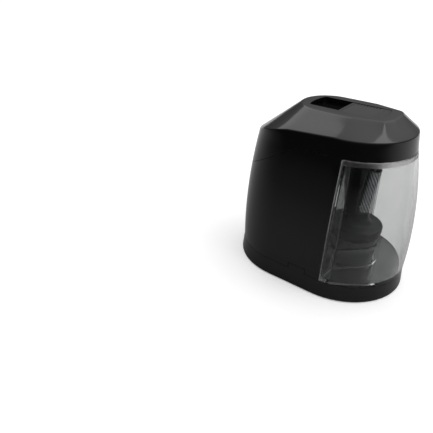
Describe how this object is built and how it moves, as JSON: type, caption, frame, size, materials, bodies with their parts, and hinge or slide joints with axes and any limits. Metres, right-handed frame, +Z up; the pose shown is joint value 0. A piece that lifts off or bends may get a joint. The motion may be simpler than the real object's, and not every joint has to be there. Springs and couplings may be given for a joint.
{
  "type": "electric pencil sharpener",
  "caption": "Upright black electric pencil sharpener with a helical cutter, a clear slide-out shavings bin, a ribbed sliding cover over the pencil hole and a low-voltage inlet.",
  "frame": {"origin": "centre of the footprint on the surface that the rubber feet stand on", "axes": "+X towards the clear bin, which slides out that way; +Z up, along the pencil"},
  "size_m": [0.1116, 0.0806, 0.1073],
  "materials": {
    "black_plastic": "glossy black ABS",
    "clear_plastic": "clear, faintly smoky polystyrene",
    "inner_plastic": "satin black",
    "rubber": "matte",
    "steel": "plated",
    "cutter_steel": "ground hardened steel",
    "brass": "turned",
    "gear_plastic": "natural acetal",
    "switch_plastic": "moulded",
    "red_plastic": "moulded",
    "board": "solder resist",
    "red_wire": "insulation",
    "white_wire": "insulation",
    "blue_wire": "insulation"
  },
  "bodies": {
    "root": {"base_tray": "black_plastic", "rubber_feet": "rubber", "rear_shell": "black_plastic", "bulkhead": "black_plastic", "cap": "black_plastic", "gearbox_base": "inner_plastic", "gearbox_cover": "inner_plastic", "gearbox_screws": "steel", "gear_bowl": "black_plastic", "lower_bush": "brass", "idler_axle_a": "steel", "idler_axle_b": "steel", "motor_can": "steel", "motor_end_cap": "gear_plastic", "motor_terminals": "brass", "motor_screws": "steel", "ring_gear": "gear_plastic", "upper_frame": "inner_plastic", "upper_bush": "brass", "frame_screws": "steel", "pencil_guide": "inner_plastic", "lever_pin": "steel", "lever_spring": "steel", "start_switch": "switch_plastic", "bin_switch": "switch_plastic", "circuit_board": "board", "board_parts": "switch_plastic", "board_screws": "steel", "dc_jack": "inner_plastic", "dc_jack_pin": "brass", "motor_wires": "red_wire", "start_wires": "white_wire", "bin_wires": "blue_wire", "base_screws": "steel"},
    "bin": {"shavings_bin": "clear_plastic"},
    "shutter": {"shutter": "black_plastic"},
    "carrier": {"cutter_carrier": "inner_plastic", "carrier_gear": "gear_plastic"},
    "cutter": {"helical_cutter": "cutter_steel", "cutter_axle": "steel", "cutter_gear": "brass"},
    "idler_a": {"idler_gear_a": "gear_plastic"},
    "idler_b": {"idler_gear_b": "gear_plastic"},
    "rotor": {"motor_shaft": "steel", "motor_pinion": "brass"},
    "start_lever": {"start_lever": "gear_plastic"},
    "bin_plunger": {"bin_plunger": "red_plastic"}
  },
  "joints": [
    {"name": "bin_slide", "type": "slide", "parent": "root", "child": "bin", "axis": [1, 0, 0], "range_m": [0, 0.06]},
    {"name": "shutter_slide", "type": "slide", "parent": "root", "child": "shutter", "axis": [-1, 0, 0], "range_m": [0, 0.0175]},
    {"name": "carrier_spin", "type": "hinge", "parent": "root", "child": "carrier", "pos_m": [0.021, 0, 0.06], "axis": [0, 0, 1], "continuous": true},
    {"name": "cutter_spin", "type": "hinge", "parent": "carrier", "child": "cutter", "pos_m": [0.02409, -0.00217, 0.046], "axis": [0.1281, -0.0897, 0.9877], "continuous": true},
    {"name": "idler_b_spin", "type": "hinge", "parent": "root", "child": "idler_b", "pos_m": [0.0054, 0, 0.02], "axis": [0, 0, 1], "continuous": true},
    {"name": "idler_a_spin", "type": "hinge", "parent": "root", "child": "idler_a", "pos_m": [-0.009, 0, 0.02], "axis": [0, 0, 1], "continuous": true},
    {"name": "rotor_spin", "type": "hinge", "parent": "root", "child": "rotor", "pos_m": [-0.024, 0, 0.03], "axis": [0, 0, 1], "continuous": true},
    {"name": "start_lever_swing", "type": "hinge", "parent": "root", "child": "start_lever", "pos_m": [0.0115, 0, 0.0989], "axis": [0, 1, 0], "range_deg": [0, 16], "stiffness_Nm_per_rad": 0.002, "springref_deg": -17.19},
    {"name": "bin_plunger_press", "type": "slide", "parent": "root", "child": "bin_plunger", "axis": [-1, 0, 0], "range_m": [0, 0.0012], "stiffness_N_per_m": 300, "springref_m": -0.0004}
  ],
  "couplings": [
    {"joint": "cutter_spin", "follows": "carrier_spin", "ratio": -3.8333},
    {"joint": "idler_b_spin", "follows": "carrier_spin", "ratio": -3.3333},
    {"joint": "idler_a_spin", "follows": "carrier_spin", "ratio": 10},
    {"joint": "rotor_spin", "follows": "carrier_spin", "ratio": -40}
  ]
}
